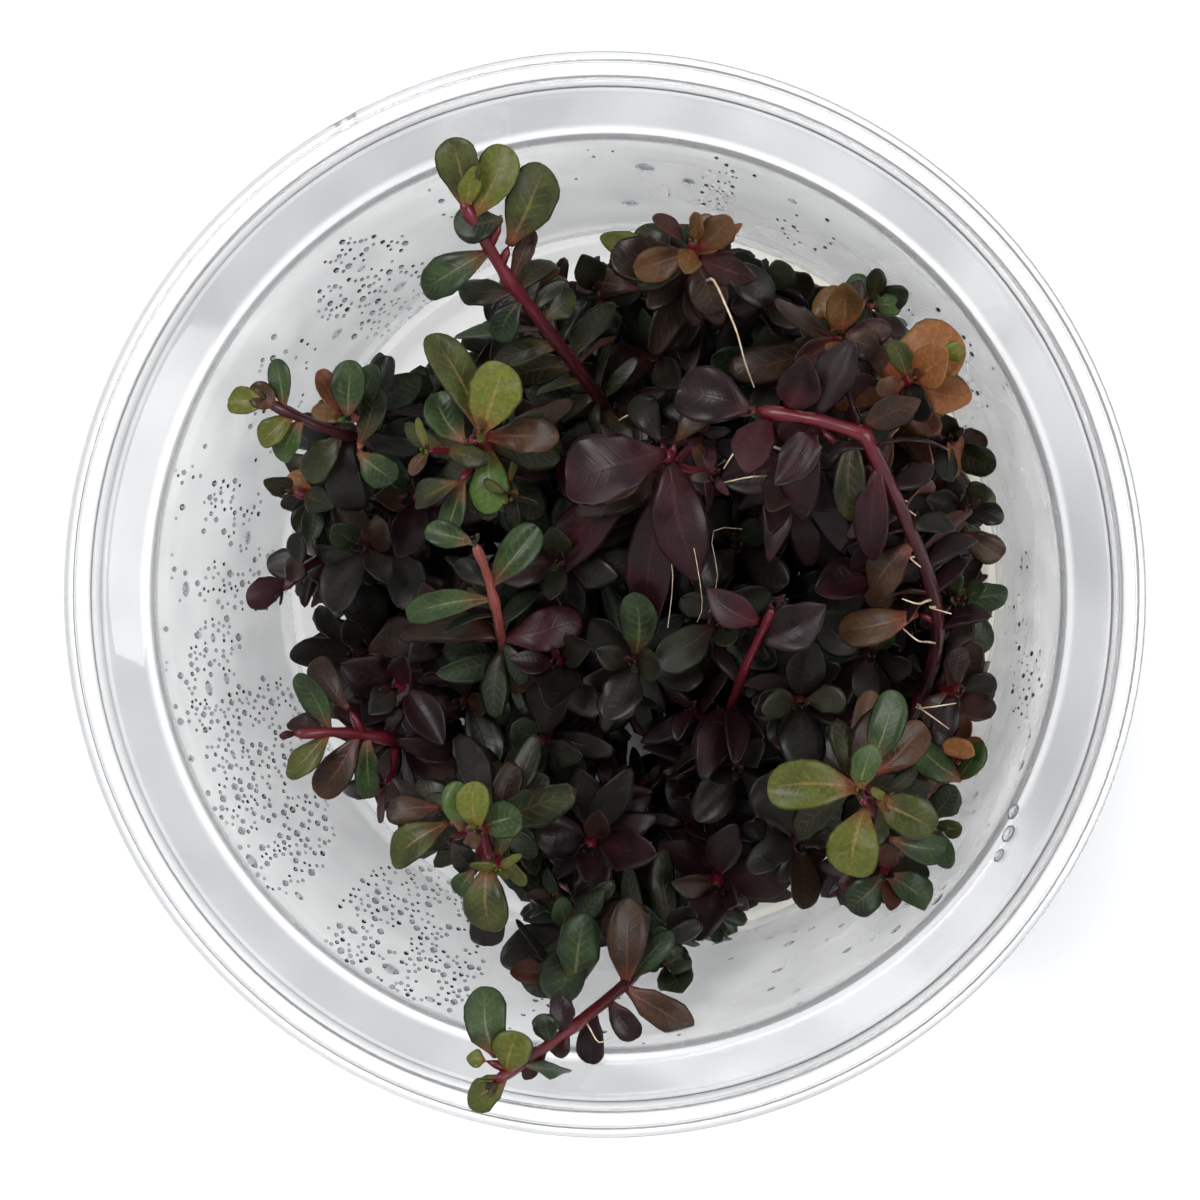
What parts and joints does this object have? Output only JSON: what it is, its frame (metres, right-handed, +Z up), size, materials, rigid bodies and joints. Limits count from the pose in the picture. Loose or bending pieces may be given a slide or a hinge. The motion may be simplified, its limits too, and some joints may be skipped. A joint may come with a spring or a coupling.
{
  "type": "tissue culture cup of dwarf rotala",
  "caption": "Open round clear cup with a wide stepped lip, holding a dense clump of small-leaved red and green stem plants rooted in pale agar gel",
  "frame": {"origin": "centre of the cup's foot ring, on the surface that the cup stands on", "axes": "+Z up, out of the cup's mouth; +X and +Y are the right and the top of the view from above"},
  "size_m": [0.1, 0.1, 0.0702],
  "materials": {
    "clear_cup": "clear injection-moulded plastic",
    "agar_gel": "cloudy cream agar gel",
    "olive_shoot": "living leaf, satin gloss",
    "green_shoot": "living leaf, satin gloss",
    "dark_shoot": "living leaf, satin gloss",
    "brown_shoot": "living leaf, satin gloss",
    "maroon_shoot": "living leaf, satin gloss",
    "burgundy_shoot": "living leaf, satin gloss",
    "amber_shoot": "living leaf, satin gloss"
  },
  "bodies": {
    "root": {"cup": "clear_cup", "gel": "agar_gel", "shoot_arch": "burgundy_shoot", "shoot_bottom_right": "green_shoot", "shoot_centre": "burgundy_shoot", "shoot_centre_right": "burgundy_shoot", "shoot_hanging": "green_shoot", "shoot_high_bottom": "olive_shoot", "shoot_high_left": "olive_shoot", "shoot_high_right": "olive_shoot", "shoot_leaning": "burgundy_shoot", "shoot_left": "dark_shoot", "shoot_left_amber": "olive_shoot", "shoot_left_crown": "green_shoot", "shoot_left_low": "maroon_shoot", "shoot_left_pointed": "dark_shoot", "shoot_low_01": "burgundy_shoot", "shoot_low_02": "dark_shoot", "shoot_low_03": "dark_shoot", "shoot_low_04": "burgundy_shoot", "shoot_low_05": "dark_shoot", "shoot_low_06": "dark_shoot", "shoot_low_07": "burgundy_shoot", "shoot_low_08": "dark_shoot", "shoot_low_09": "dark_shoot", "shoot_low_10": "burgundy_shoot", "shoot_low_11": "dark_shoot", "shoot_low_12": "dark_shoot", "shoot_low_13": "burgundy_shoot", "shoot_low_14": "dark_shoot", "shoot_low_15": "dark_shoot", "shoot_low_16": "burgundy_shoot", "shoot_low_17": "dark_shoot", "shoot_low_18": "dark_shoot", "shoot_low_19": "burgundy_shoot", "shoot_low_20": "dark_shoot", "shoot_low_21": "dark_shoot", "shoot_low_22": "burgundy_shoot", "shoot_orange": "amber_shoot", "shoot_over_rim": "olive_shoot", "shoot_pink": "green_shoot", "shoot_right_amber": "amber_shoot", "shoot_right_back": "brown_shoot", "shoot_right_low": "maroon_shoot", "shoot_right_low_edge": "green_shoot", "shoot_right_maroon": "maroon_shoot", "shoot_right_mid": "dark_shoot", "shoot_right_upper": "dark_shoot", "shoot_tall_left": "olive_shoot", "shoot_top_brown": "brown_shoot", "shoot_top_crown": "brown_shoot", "shoot_top_left": "dark_shoot", "shoot_top_left_low": "dark_shoot", "shoot_top_mid": "dark_shoot", "shoot_top_right": "green_shoot"}
  },
  "joints": []
}
